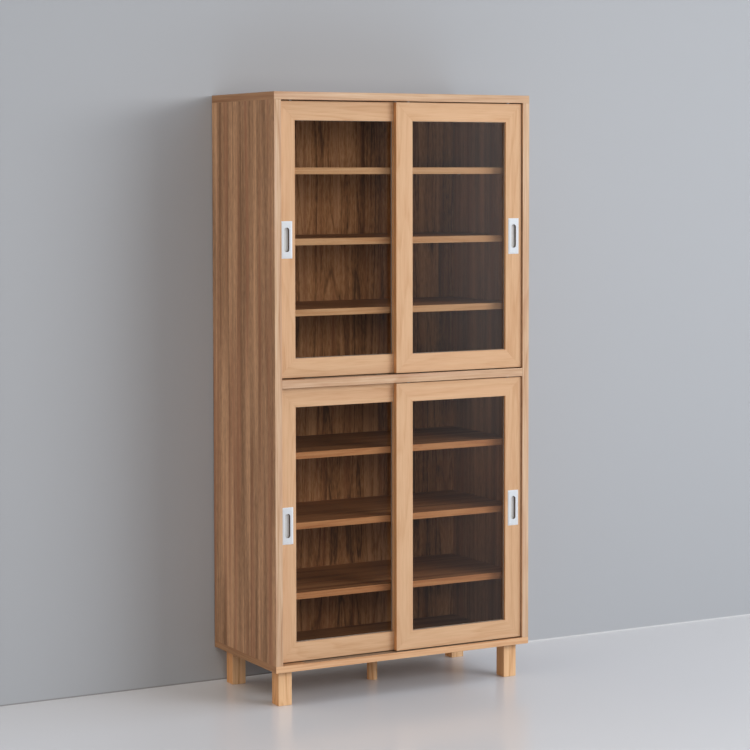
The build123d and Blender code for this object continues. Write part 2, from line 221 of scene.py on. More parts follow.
@dataclass(frozen=True)
class LacqueredWood(Finish):
    """Hardwood or its veneer under a thin satin lacquer.

    Planed wood shows slow changes of tone across the board, straight stripes along the fibres, growth-ring
    lines that follow the contours of a drawn-out figure, a few redder veins and fine short fibre marks. The
    lacquer adds a soft sheen with no visible build.

    Each size in mm is a feature's width across the fibres, and each length says how many times as long as
    wide it is. Each share says how much it moves the tone, and each detail how many finer octaves it has.
    """

    grain: Grain
    pale: str
    middle: str
    deep: str
    tint: str
    tone_stops: tuple[float, float, float] = (0.25, 0.5, 0.75)  # where deep, middle and pale lie on the tone
    zone_mm: float = 60.0
    zone_length: float = 18.0
    zone_detail: float = 1.0
    zone_share: float = 0.4
    stripe_mm: float = 9.0
    stripe_length: float = 50.0
    stripe_detail: float = 3.0
    stripe_share: float = 0.6
    figure_mm: float = 80.0
    figure_length: float = 14.0
    figure_detail: float = 0.8
    ring_lines: float = 10.0  # contours from the figure's lowest to its highest tone
    ring_share: float = 0.1
    ring_fade: float = 0.4  # how much of the way to the next line each line's shade reaches
    ring_edge: float = 0.9  # where on the way to the next line that line's sharp side begins
    ring_level: float = 0.8  # the lines' mean, from 0 on a line to 1 between them
    # Real pores are a third of a millimetre wide. They are drawn ten times as coarse, so that they show.
    fibre_width_mm: float = 3.3
    fibre_mm: float = 70.0  # a mark's length
    fibre_detail: float = 1.5
    fibre_share: float = 0.3
    vein_stripes: float = 2.5  # a vein's width in stripes
    vein_length: float = 90.0  # a vein's length in stripe widths
    vein_detail: float = 2.0
    vein_edge: tuple[float, float] = (0.5, 0.66)  # the noise values where a vein begins and is full
    tint_share: float = 0.4
    octave_share: float = 0.55  # how strong each finer octave of a noise is
    roughness: float = 0.5
    roughness_change: tuple[float, float] = (-0.05, 0.07)  # between the fibre marks, and on them
    relief: float = 0.1
    relief_mm: float = 0.4
    ior: float = 1.45
    specular: float = 0.3

    def wire(self, tree: bpy.types.NodeTree, shader: bpy.types.Node) -> None:
        """Wires the tone, the veins, the sheen and the fibre marks' relief into the shader.

        Args:
            tree: The material's node tree.
            shader: Its Principled shader.
        """
        place = add(tree, "ShaderNodeTexCoord").outputs["Object"]
        board = add(tree, "ShaderNodeAttribute", attribute_name="board").outputs["Vector"]
        place = add(tree, "ShaderNodeVectorMath", {0: place, 1: board}, operation="ADD").outputs[0]
        fibre = self.layer(tree, place, self.fibre_width_mm, self.fibre_mm, self.fibre_detail)
        tone = self.tone(tree, place, fibre)
        stops = tuple(zip(self.tone_stops, (self.deep, self.middle, self.pale)))
        colour = add(tree, "ShaderNodeValToRGB", {0: tone}, stops=stops).outputs[0]
        across, along = self.stripe_mm * self.vein_stripes, self.stripe_mm * self.vein_length
        vein = self.layer(tree, place, across, along, self.vein_detail)
        vein = {0: vein, 1: self.vein_edge[0], 2: self.vein_edge[1], 3: 0.0, 4: self.tint_share}
        vein = add(tree, "ShaderNodeMapRange", vein).outputs[0]
        colour = {0: vein, 6: colour, 7: linear(self.tint)}
        colour = add(tree, "ShaderNodeMix", colour, data_type="RGBA").outputs[2]
        smooth, coarse = (self.roughness + change for change in self.roughness_change)
        rough = {0: fibre, 1: ROUGH_EDGE[0], 2: ROUGH_EDGE[1], 3: smooth, 4: coarse}
        rough = add(tree, "ShaderNodeMapRange", rough).outputs[0]
        relief = {"Height": fibre, "Strength": self.relief, "Distance": self.relief_mm * MM}
        relief = add(tree, "ShaderNodeBump", relief).outputs[0]
        for name, value in (("Base Color", colour), ("Roughness", rough), ("Normal", relief)):
            tree.links.new(value, shader.inputs[name])
        shader.inputs["IOR"].default_value = self.ior
        shader.inputs["Specular IOR Level"].default_value = self.specular

    def tone(self, tree: bpy.types.NodeTree, place: Any, fibre: Any) -> Any:
        """Weighs the patterns into one tone.

        Args:
            tree: The node tree to add to.
            place: The coordinates' socket, in metres.
            fibre: The fibre marks' socket.

        Returns:
            The tone's output socket, near 0.5 where the wood has its middle colour.
        """
        zone_reach, stripe_reach = self.zone_mm * self.zone_length, self.stripe_mm * self.stripe_length
        zone = self.layer(tree, place, self.zone_mm, zone_reach, self.zone_detail)
        stripe = self.layer(tree, place, self.stripe_mm, stripe_reach, self.stripe_detail)
        tone = 0.5
        for value, centre, share in (
            (zone, 0.5, self.zone_share),
            (stripe, 0.5, self.stripe_share),
            (fibre, 0.5, self.fibre_share),
            (self.rings(tree, place), self.ring_level, self.ring_share),
        ):
            value = add(tree, "ShaderNodeMath", {0: value, 1: centre}, operation="SUBTRACT").outputs[0]
            weighed = {0: value, 1: share, 2: tone}
            tone = add(tree, "ShaderNodeMath", weighed, operation="MULTIPLY_ADD").outputs[0]
        return tone

    def layer(self, tree: bpy.types.NodeTree, place: Any, across: float, along: float, detail: float) -> Any:
        """One layer of drawn-out noise.

        Args:
            tree: The node tree to add to.
            place: The coordinates' socket, in metres.
            across: Feature size across the fibres, in mm.
            along: Feature size along the fibres, in mm.
            detail: How many finer octaves are added.

        Returns:
            The noise's output socket, from 0 to 1.
        """
        scaled = add(tree, "ShaderNodeMapping", {0: place, 3: self.grain.scale(across, along)}).outputs[0]
        noise = {"Vector": scaled, "Scale": 1.0, "Detail": detail, "Roughness": self.octave_share}
        return add(tree, "ShaderNodeTexNoise", noise).outputs[0]

    def rings(self, tree: bpy.types.NodeTree, place: Any) -> Any:
        """Growth-ring lines: the contours of a smooth figure, each a thin dark line that fades on one side.

        Args:
            tree: The node tree to add to.
            place: The coordinates' socket, in metres.

        Returns:
            The lines' output socket: 0 on a line, 1 between the lines.
        """
        figure_reach = self.figure_mm * self.figure_length
        figure = self.layer(tree, place, self.figure_mm, figure_reach, self.figure_detail)
        many = add(tree, "ShaderNodeMath", {0: figure, 1: self.ring_lines}, operation="MULTIPLY").outputs[0]
        saw = add(tree, "ShaderNodeMath", {0: many}, operation="FRACT").outputs[0]
        rise = {0: saw, 1: 0.0, 2: self.ring_fade, 3: 0.0, 4: 1.0}
        rise = add(tree, "ShaderNodeMapRange", rise).outputs[0]
        fall = {0: saw, 1: self.ring_edge, 2: 1.0, 3: 1.0, 4: 0.0}
        fall = add(tree, "ShaderNodeMapRange", fall).outputs[0]
        return add(tree, "ShaderNodeMath", {0: rise, 1: fall}, operation="MULTIPLY").outputs[0]


@dataclass(frozen=True)
class SmokedGlass(Finish):
    """Float glass tinted brown: each face takes some of the light, most of it blue, and mirrors a little."""

    tint: str = "#F9F4EE"
    ior: float = 1.35  # below glass's 1.5, so that the panes mirror the room faintly and the shelves show
    roughness: float = 0.03

    def wire(self, tree: bpy.types.NodeTree, shader: bpy.types.Node) -> None:
        """Replaces the shader by a tinted clear face under a sharp reflection.

        Args:
            tree: The material's node tree.
            shader: Its Principled shader.
        """
        tree.nodes.remove(shader)
        clear = add(tree, "ShaderNodeBsdfTransparent", {"Color": linear(self.tint)}).outputs[0]
        gloss = {"Color": linear("#FFFFFF"), "Roughness": self.roughness}
        gloss = add(tree, "ShaderNodeBsdfAnisotropic", gloss).outputs[0]
        # Light isn't bent on its way in, so the far face would mirror everything at a slant. The Fresnel node
        # inverts its value there, and is given the inverse.
        rear = add(tree, "ShaderNodeNewGeometry").outputs["Backfacing"]
        ior = add(tree, "ShaderNodeMapRange", {0: rear, 3: self.ior, 4: 1 / self.ior}).outputs[0]
        share = add(tree, "ShaderNodeFresnel", {"IOR": ior}).outputs[0]
        pane = add(tree, "ShaderNodeMixShader", {0: share, 1: clear, 2: gloss}).outputs[0]
        tree.links.new(pane, tree.nodes["Material Output"].inputs["Surface"])


@dataclass(frozen=True)
class Metal(Finish):
    """A metal with fine marks from its making, drawn out along one direction."""

    colour: str
    grain: Grain
    roughness: float
    mark_mm: float = 0.4
    metallic: float = 1.0
    mark_length: float = 30.0  # how many times as long as wide a mark is
    mark_detail: float = 2.0
    roughness_change: tuple[float, float] = (-0.05, 0.08)  # between the marks, and on them
    relief: float = 0.05
    relief_mm: float = 0.2

    def wire(self, tree: bpy.types.NodeTree, shader: bpy.types.Node) -> None:
        """Wires the marks into the shader's roughness and relief.

        Args:
            tree: The material's node tree.
            shader: Its Principled shader.
        """
        place = add(tree, "ShaderNodeTexCoord").outputs["Object"]
        scale = self.grain.scale(self.mark_mm, self.mark_mm * self.mark_length)
        scaled = add(tree, "ShaderNodeMapping", {0: place, 3: scale}).outputs[0]
        marks = {"Vector": scaled, "Scale": 1.0, "Detail": self.mark_detail}
        marks = add(tree, "ShaderNodeTexNoise", marks).outputs[0]
        smooth, coarse = (self.roughness + change for change in self.roughness_change)
        rough = {0: marks, 1: ROUGH_EDGE[0], 2: ROUGH_EDGE[1], 3: smooth, 4: coarse}
        rough = add(tree, "ShaderNodeMapRange", rough).outputs[0]
        tree.links.new(rough, shader.inputs["Roughness"])
        relief = {"Height": marks, "Strength": self.relief, "Distance": self.relief_mm * MM}
        relief = add(tree, "ShaderNodeBump", relief).outputs[0]
        tree.links.new(relief, shader.inputs["Normal"])
        shader.inputs["Base Color"].default_value = linear(self.colour)
        shader.inputs["Metallic"].default_value = self.metallic


@dataclass(frozen=True)
class Plastic(Finish):
    """A moulded or extruded plastic: even colour, a soft gloss and a faint cloudiness from the die."""

    colour: str
    shade: str
    roughness: float = 0.45
    cloud_mm: float = 6.0
    grain: Grain = Grain.X
    cloud_length: float = 1.0  # how many times as long as wide a cloud is, more than 1 when extruded
    cloud_edge: tuple[float, float] = (0.35, 0.65)  # the noise values of the full shade and the full colour
    cloud_detail: float = 3.0
    relief: float = 0.05
    relief_mm: float = 0.2

    def wire(self, tree: bpy.types.NodeTree, shader: bpy.types.Node) -> None:
        """Wires the clouds into the shader's colour and relief.

        Args:
            tree: The material's node tree.
            shader: Its Principled shader.
        """
        place = add(tree, "ShaderNodeTexCoord").outputs["Object"]
        scale = self.grain.scale(self.cloud_mm, self.cloud_mm * self.cloud_length)
        scaled = add(tree, "ShaderNodeMapping", {0: place, 3: scale}).outputs[0]
        cloud = {"Vector": scaled, "Scale": 1.0, "Detail": self.cloud_detail}
        cloud = add(tree, "ShaderNodeTexNoise", cloud).outputs[0]
        stops = tuple(zip(self.cloud_edge, (self.shade, self.colour)))
        colour = add(tree, "ShaderNodeValToRGB", {0: cloud}, stops=stops).outputs[0]
        tree.links.new(colour, shader.inputs["Base Color"])
        relief = {"Height": cloud, "Strength": self.relief, "Distance": self.relief_mm * MM}
        relief = add(tree, "ShaderNodeBump", relief).outputs[0]
        tree.links.new(relief, shader.inputs["Normal"])
        shader.inputs["Roughness"].default_value = self.roughness


@dataclass(frozen=True)
class StudioPaint(Finish):
    """Flat paint on the studio's floor and wall."""

    colour: str
    roughness: float
    see_through_from_behind: bool = False

    def wire(self, tree: bpy.types.NodeTree, shader: bpy.types.Node) -> None:
        """Sets the shader's values, and lets the wall be seen through from its rear.

        Args:
            tree: The material's node tree.
            shader: Its Principled shader.
        """
        shader.inputs["Base Color"].default_value = linear(self.colour)
        shader.inputs["Roughness"].default_value = self.roughness
        if not self.see_through_from_behind:
            return
        rear = add(tree, "ShaderNodeNewGeometry").outputs["Backfacing"]
        clear = add(tree, "ShaderNodeBsdfTransparent").outputs[0]
        mixed = add(tree, "ShaderNodeMixShader", {0: rear, 1: shader.outputs[0], 2: clear}).outputs[0]
        tree.links.new(mixed, tree.nodes["Material Output"].inputs["Surface"])


# Each wood's colours are its pale, middle and deep tone and the tint of its veins.
# The doors' solid alder is calm: close grain with hardly any contrast.
CALM = dict(zone_share=0.14, stripe_share=0.28, ring_share=0.1, fibre_share=0.35, tint_share=0.25)
DOOR_COLOURS = ("#E3BD99", "#D7AF8A", "#C4946C", "#D3A27E")
DOOR_STILE = LacqueredWood("alder_lacquered_upright", Grain.Z, *DOOR_COLOURS, **CALM)
DOOR_RAIL = LacqueredWood("alder_lacquered_level", Grain.X, *DOOR_COLOURS, **CALM)
# The members' narrow sides are painted warmer and deeper: painted shade, warmed by light bounced off the wood
# round them.
DOOR_SIDE_PAINTED_SHADE_COLOURS = ("#EDB27E", "#E2A772", "#C98B55", "#D5945F")
DOOR_SIDE_PAINTED_SHADE = LacqueredWood("alder_door_side_painted_shade", Grain.Z, *DOOR_SIDE_PAINTED_SHADE_COLOURS, **CALM)
# The legs' alder is livelier. Its fronts are painted paler, as painted light, and its sides deeper, as painted
# shade.
LIVELY = dict(CALM, stripe_mm=7.0, stripe_share=0.45, figure_mm=50.0, ring_share=0.18)
LEG_PAINTED_LIGHT_COLOURS = ("#F5D0A4", "#EEC295", "#CB9463", "#D09768")
LEG_WOOD_PAINTED_LIGHT = LacqueredWood("alder_lacquered_leg", Grain.Z, *LEG_PAINTED_LIGHT_COLOURS, **LIVELY)
LEG_SIDE_PAINTED_SHADE_COLOURS = ("#ECB986", "#E4AE7C", "#BE8450", "#C88A58")
LEG_SIDE_PAINTED_SHADE = LacqueredWood("alder_leg_side_painted_shade", Grain.Z, *LEG_SIDE_PAINTED_SHADE_COLOURS, **LIVELY)
# Solid lipping on the boards' edges, with pinkish streaks: one tone on the sides, the top and the middle, a
# paler, warmer one on the bottom as painted light, deeper ones on the shelves as painted shade inside the
# cabinet, deepest in the lower tier, and the deepest tone on the ends of the boards, whose grain drinks
# lacquer.
LIPPING = dict(stripe_mm=5.0, zone_mm=30.0, zone_share=0.4, stripe_share=0.7, ring_share=0.15, tint_share=0.5)
LIP_COLOURS = ("#DFC3A7", "#D0AE8F", "#B98F6F", "#C9A28A")
LIP_UPRIGHT = LacqueredWood("alder_lipping_upright", Grain.Z, *LIP_COLOURS, **LIPPING)
LIP_LEVEL = LacqueredWood("alder_lipping_level", Grain.X, *LIP_COLOURS, **LIPPING)
LIP_WARM_PAINTED_LIGHT_COLOURS = ("#EBC39A", "#DFB188", "#C6926A", "#D29F7A")
LIP_WARM_PAINTED_LIGHT = LacqueredWood("alder_lipping_bottom_painted_light", Grain.X, *LIP_WARM_PAINTED_LIGHT_COLOURS, **LIPPING)
LIP_UPPER_PAINTED_SHADE_COLOURS = ("#D4B899", "#C8A786", "#B18A66", "#BC926D")
LIP_UPPER_PAINTED_SHADE = LacqueredWood("alder_lipping_upper_painted_shade", Grain.X, *LIP_UPPER_PAINTED_SHADE_COLOURS, **LIPPING)
LIP_LOWER_PAINTED_SHADE_COLOURS = ("#C89F79", "#BE906A", "#A87652", "#B2815E")
LIP_LOWER_PAINTED_SHADE = LacqueredWood("alder_lipping_lower_painted_shade", Grain.X, *LIP_LOWER_PAINTED_SHADE_COLOURS, **LIPPING)
LIP_DEEP_COLOURS = ("#B89170", "#A98261", "#8C6545", "#97684A")
LIP_DEEP = LacqueredWood("alder_lipping_deep", Grain.Y, *LIP_DEEP_COLOURS, **LIPPING)
# Sliced veneer on the broad faces: straight stripes in strong contrast, with redder veins.
STRIPED = dict(stripe_mm=12.0, zone_mm=45.0, figure_mm=130.0, ring_lines=12.0, figure_length=40.0)
STRIPED.update(zone_share=0.9, stripe_share=0.6, ring_share=0.13, tint_share=0.5)
STRIPED.update(fibre_mm=24.0, fibre_share=0.6)
SIDE_COLOURS = ("#CFA582", "#AF896A", "#8A684D", "#A06B50")
SIDE_VENEER = LacqueredWood("alder_veneer_upright", Grain.Z, *SIDE_COLOURS, **STRIPED)
LEVEL_COLOURS = ("#B68D68", "#9E7553", "#745036", "#865437")
LEVEL_VENEER = LacqueredWood("alder_veneer_level", Grain.X, *LEVEL_COLOURS, **STRIPED)
# The back's walnut veneer is darker, and its lines wander more.
WAVY = dict(STRIPED, stripe_mm=10.0, stripe_share=0.7, zone_mm=55.0, zone_share=0.8, fibre_share=0.6)
WAVY.update(figure_mm=70.0, figure_length=14.0, ring_lines=7.0, ring_share=0.22, ring_fade=0.25)
BACK_COLOURS = ("#C39E7D", "#9F7855", "#5E4532", "#875A40")
BACK_VENEER = LacqueredWood("walnut_veneer_back", Grain.Z, *BACK_COLOURS, **WAVY)
# The panes are float glass with a little brown in its body, which leaves the shelves behind it dim and warm.
SMOKED_GLASS = SmokedGlass("float_glass_smoked")
# The glazing seal is pale vinyl that shows as a thin line round the pane. Its front lip is painted dark, as
# painted shade along the pane's edge.
SEAL_LIP_PAINTED_SHADE = Plastic("vinyl_lip_painted_shade", "#7A6A5C", "#706154")
PALE_VINYL = Plastic("vinyl_pale_core", "#F4F4F4", "#ECECEC")
# The tracks are extruded along X, which leaves their cloudiness in long streaks.
TRACK = dict(roughness=0.4, cloud_mm=5.0, grain=Grain.X, cloud_length=40.0)
TRACK_VINYL = Plastic("vinyl_brown_track", "#9A7F68", "#8A725C", **TRACK)
# The wheels' moulded acetal has a slight gloss.
ACETAL = Plastic("acetal_brown_moulded", "#5D554C", "#544D45", roughness=0.35)
# The pulls are die cast with a satin plate. The finger slot's floor is painted pale, a painted reflection of
# the room in the metal, and its side walls are painted dark, as painted shade in the slot.
SATIN_ZINC = Metal("zinc_satin_nickel", "#F4F9FF", Grain.Z, roughness=0.36, metallic=0.4)
SLOT_FLOOR_PAINTED_REFLECTION = Plastic("zinc_slot_painted_reflection", "#E4E5E6", "#DDDEDF", roughness=0.4)
SLOT_WALL_PAINTED_SHADE = Plastic("zinc_slot_painted_shade", "#6C5D50", "#625346", roughness=0.5)
# Pins, bolts and guides shine grey from their zinc. The roller housings are bronzed, and stay dim.
ZINC_STEEL = Metal("steel_zinc_plated", "#B4B8BC", Grain.X, roughness=0.3, mark_mm=0.8)
DARK_STEEL = Metal("steel_bronzed", "#6B625A", Grain.X, roughness=0.42, mark_mm=0.8)


# ---------------------------------------------------------------- softened copies of CAD nodes
@dataclass
class Softener:
    """Copies a CAD node with its sharp edges rounded, as sanding or moulding leaves them."""

    nodes: dict[str, bpy.types.Object]
    merge_mm: float = 0.002
    flat_angle: float = math.radians(0.4)
    sharp_angle: float = math.radians(28.0)
    shortest_mm: float = 0.8
    board_step: tuple[float, float, float] = (0.371, 0.613, 0.839)  # in metres, so that no two boards match
    boards: int = 0

    def copy(
        self,
        node: str,
        body: str,
        slot: str,
        finishes: Sequence[Finish],
        choose: Callable[[bmesh.types.BMFace], int] = lambda face: 0,
        round_mm: float = 0.3,
        segments: int = 2,
    ) -> bpy.types.Object:
        """Makes a softened copy that stands for a CAD node.

        Args:
            node: The CAD node's name.
            body: The body it rides on.
            slot: The record's material slot; not used.
            finishes: The finishes on the piece.
            choose: Gives the number of the finish for a face.
            round_mm: How far the rounding reaches from each sharp edge.
            segments: Steps in the rounding.

        Returns:
            The new piece.
        """
        shape = bmesh.new()
        shape.from_mesh(self.nodes[node].data)
        self.merge(shape)
        self.round_edges(shape, round_mm, segments)
        self.shift_pattern(shape)
        shape.normal_update()
        for face in shape.faces:
            face.material_index = choose(face)
        mesh = bpy.data.meshes.new(node)
        shape.to_mesh(mesh)
        shape.free()
        for finish in finishes:
            mesh.materials.append(finish.material())
        piece = bpy.data.objects.new(f"{node}_soft", mesh)
        bpy.context.scene.collection.objects.link(piece)
        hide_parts(node)
        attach(piece, body)
        LOG.info("%s, riding on %s", piece.name, body)
        return piece

    def merge(self, shape: bmesh.types.BMesh) -> None:
        """Joins the node's loose triangles, and dissolves the edges inside its flat faces.

        Args:
            shape: The node's mesh, which is changed.
        """
        bmesh.ops.remove_doubles(shape, verts=shape.verts, dist=self.merge_mm * MM)
        bmesh.ops.dissolve_limit(
            shape,
            angle_limit=self.flat_angle,
            use_dissolve_boundaries=False,
            verts=shape.verts,
            edges=shape.edges,
            delimit=set(),
        )
        shape.normal_update()

    def round_edges(self, shape: bmesh.types.BMesh, round_mm: float, segments: int) -> None:
        """Rounds every sharp edge. The rounding is shaded smooth and the rest flat.

        Args:
            shape: The merged mesh, which is changed.
            round_mm: How far the rounding reaches from each sharp edge.
            segments: Steps in the rounding.
        """
        for face in shape.faces:
            face.smooth = False
        sharp = [edge for edge in shape.edges if self.is_sharp(edge)]
        if not sharp:
            return
        made = bmesh.ops.bevel(
            shape,
            geom=sharp,
            offset=round_mm * MM,
            offset_type="OFFSET",
            affect="EDGES",
            segments=segments,
            profile=0.5,
            material=-1,
            clamp_overlap=True,
        )
        for face in made["faces"]:
            face.smooth = True

    def is_sharp(self, edge: bmesh.types.BMEdge) -> bool:
        """Tells whether an edge is to be rounded.

        Args:
            edge: An edge of the merged mesh.

        Returns:
            True for an edge between two faces that turns enough and isn't tiny.
        """
        if len(edge.link_faces) != 2 or edge.calc_length() < self.shortest_mm * MM:
            return False
        return edge.calc_face_angle(0.0) > self.sharp_angle

    def shift_pattern(self, shape: bmesh.types.BMesh) -> None:
        """Gives the piece its own place in the wood's pattern, as if it were cut from a board of its own.

        Args:
            shape: The rounded mesh, which gets the attribute "board".
        """
        self.boards += 1
        board = shape.verts.layers.float_vector.new("board")
        step = Vector(self.board_step) * self.boards
        for vert in shape.verts:
            vert[board] = step


# ---------------------------------------------------------------- sub-assemblies
@dataclass
class Carcass:
    """The fixed box: sides, top, middle, bottom, back, shelves, legs, pins, tracks and bolts."""

    softener: Softener
    body: str = "carcass"
    board_round_mm: float = 0.3
    back_round_mm: float = 0.2
    leg_round_mm: float = 0.5
    steel_round_mm: float = 0.5
    track_round_mm: float = 0.3
    leg_places: tuple[str, ...] = ("front_left", "front_right", "back_left", "back_right", "centre")

    def build(self) -> None:
        """Dresses every fixed piece."""
        self.sides()
        self.levels()
        self.shelves()
        self.back()
        self.legs()
        self.hardware()

    def sides(self) -> None:
        """Side panels: veneered faces and a solid lipping on the front edge."""
        finishes = (SIDE_VENEER, LIP_UPRIGHT)
        for side in Side:
            name = f"side_panel_{side.value}"
            self.softener.copy(name, self.body, "carcass_wood", finishes, on_front, self.board_round_mm)

    def levels(self) -> None:
        """Top, middle and bottom panels: grain along their length, lipped on the front and on both ends."""
        # The bottom panel's lipping is painted paler and warmer, as painted light.
        for place, front in (("top", LIP_LEVEL), ("middle", LIP_LEVEL), ("bottom", LIP_WARM_PAINTED_LIGHT)):
            name, finishes = f"{place}_panel", (LEVEL_VENEER, front, LIP_DEEP)
            self.softener.copy(
                name, self.body, "carcass_wood", finishes, on_front_or_end, self.board_round_mm
            )

    def shelves(self) -> None:
        """Loose shelves: veneered, with a solid lipping in front."""
        # Painted shade on the shelves' lipping, deeper in the lower tier.
        for tier, lipping in ((Tier.LOWER, LIP_LOWER_PAINTED_SHADE), (Tier.UPPER, LIP_UPPER_PAINTED_SHADE)):
            finishes = (LEVEL_VENEER, lipping)
            for level in Level:
                name = f"shelf_{tier.value}_{level.value}"
                self.softener.copy(name, self.body, "shelf_wood", finishes, on_front, self.board_round_mm)

    def back(self) -> None:
        """The thin back panel."""
        self.softener.copy("back_panel", self.body, "back_wood", (BACK_VENEER,), round_mm=self.back_round_mm)

    def legs(self) -> None:
        """Four square legs and the round one."""
        # Painted light on the legs' fronts, and painted shade on their sides.
        finishes = (LEG_WOOD_PAINTED_LIGHT, LEG_SIDE_PAINTED_SHADE)
        for place in self.leg_places:
            self.softener.copy(f"leg_{place}", self.body, "leg_wood", finishes, on_side, self.leg_round_mm)

    def hardware(self) -> None:
        """Shelf pins, leg bolts and tracks."""
        for name in ("shelf_pins", "leg_bolts"):
            self.softener.copy(name, self.body, "steel", (ZINC_STEEL,), round_mm=self.steel_round_mm)
        self.softener.copy("door_tracks", self.body, "track", (TRACK_VINYL,), round_mm=self.track_round_mm)


@dataclass
class SlidingDoor:
    """One glazed sliding door with its seal, pull, fittings and wheels."""

    softener: Softener
    tier: Tier
    side: Side
    member_round_mm: float = 0.25
    metal_round_mm: float = 0.2  # of the pull and fittings, and of the seal's lips
    wheel_round_mm: float = 0.5
    plate_mm: float = 3.0  # how deep the pull's satin reaches behind its front
    plate_facing: float = 0.2  # how far forwards a face of the pull's plate looks at least
    wall_facing: float = 0.4  # how far sideways a side wall of the slot looks at least

    @property
    def name(self) -> str:
        """The name that all of its nodes start with."""
        return f"{self.tier.value}_{self.side.value}"

    @property
    def body(self) -> str:
        """The body that slides."""
        return f"{self.name}_door"

    def build(self) -> None:
        """Dresses every piece of the door."""
        self.members()
        self.dress(f"{self.name}_glass", SMOKED_GLASS)
        self.seal()
        self.pull()
        self.fittings()
        self.wheels()

    def members(self) -> None:
        """The stiles and rails, deeper in tone on their narrow sides as painted shade."""
        for part, finish in (
            ("stile_left", DOOR_STILE),
            ("stile_right", DOOR_STILE),
            ("rail_top", DOOR_RAIL),
            ("rail_bottom", DOOR_RAIL),
        ):
            name, finishes = f"{self.name}_{part}", (finish, DOOR_SIDE_PAINTED_SHADE)
            self.softener.copy(name, self.body, "door_wood", finishes, on_side, self.member_round_mm)

    def dress(self, node: str, finish: Finish) -> None:
        """Gives a CAD node that stays as it is its finish.

        Args:
            node: The CAD node's name.
            finish: The finish for the whole of it.
        """
        target = self.softener.nodes[node]
        target.data.materials.clear()
        target.data.materials.append(finish.material())
        LOG.info("%s", node)

    def seal(self) -> None:
        """The gasket round the pane."""
        # Painted shade on the seal's front lip; its rim keeps the seal's own pale colour.
        name, finishes = f"{self.name}_gasket", (SEAL_LIP_PAINTED_SHADE, PALE_VINYL)
        self.softener.copy(name, self.body, "gasket", finishes, on_rim, self.metal_round_mm)

    def pull(self) -> None:
        """The flush pull: a satin plate round a finger slot, its floor a painted reflection and its walls
        painted shade.
        """
        name, finishes = f"{self.name}_pull", (SATIN_ZINC, SLOT_FLOOR_PAINTED_REFLECTION, SLOT_WALL_PAINTED_SHADE)
        plate_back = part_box(name)[0][1] + self.plate_mm * MM

        def choose(face: bmesh.types.BMFace) -> int:
            """Tells the plate, the slot's floor and its side walls apart.

            Args:
                face: A face of the pull.

            Returns:
                0 on the plate, 1 on the slot's floor and its ends, 2 on its side walls.
            """
            sideways, forwards = abs(face.normal.x), abs(face.normal.y)
            if face.calc_center_median().y < plate_back and forwards > self.plate_facing:
                return 0
            return 2 if sideways > self.wall_facing and forwards < self.plate_facing else 1

        self.softener.copy(name, self.body, "pull_metal", finishes, choose, self.metal_round_mm)

    def fittings(self) -> None:
        """The bronzed roller housings in the bottom rail and the zinc plated guides in the top rail."""
        name, finishes = f"{self.name}_fittings", (DARK_STEEL, ZINC_STEEL)
        low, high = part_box(name)
        middle = (low[2] + high[2]) / 2

        def choose(face: bmesh.types.BMFace) -> int:
            """1 on a face of the guides, 0 on one of the housings."""
            return int(face.calc_center_median().z > middle)

        self.softener.copy(name, self.body, "steel", finishes, choose, self.metal_round_mm)

    def wheels(self) -> None:
        """The two wheels, each riding on a turning body of its own."""
        for side in Side:
            node = f"{self.name}_wheel_{side.value}"
            body = f"{node}_turning"
            self.softener.copy(node, body, "wheel_plastic", (ACETAL,), round_mm=self.wheel_round_mm)


# ---------------------------------------------------------------- studio
@dataclass(frozen=True)
class Lamp:
    """One soft light aimed at the cabinet's middle. Nothing shiny mirrors it."""

    name: str
    place: tuple[float, float, float]
    size: tuple[float, float]  # its width and height, in metres
    power: float  # in watts
    colour: tuple[float, float, float]  # linear
    aim: tuple[float, float, float] = (0.0, 0.0, 0.9)

    def build(self) -> None:
        """Adds the lamp to the scene."""
        data = bpy.data.lights.new(self.name, "AREA")
        data.shape = "RECTANGLE"
        data.size, data.size_y = self.size
        data.energy = self.power
        data.color = self.colour
        lamp = bpy.data.objects.new(self.name, data)
        lamp.location = self.place
        lamp.visible_glossy = False
        way = Vector(self.aim) - Vector(self.place)
        lamp.rotation_euler = way.to_track_quat("-Z", "Y").to_euler()
        bpy.context.scene.collection.objects.link(lamp)


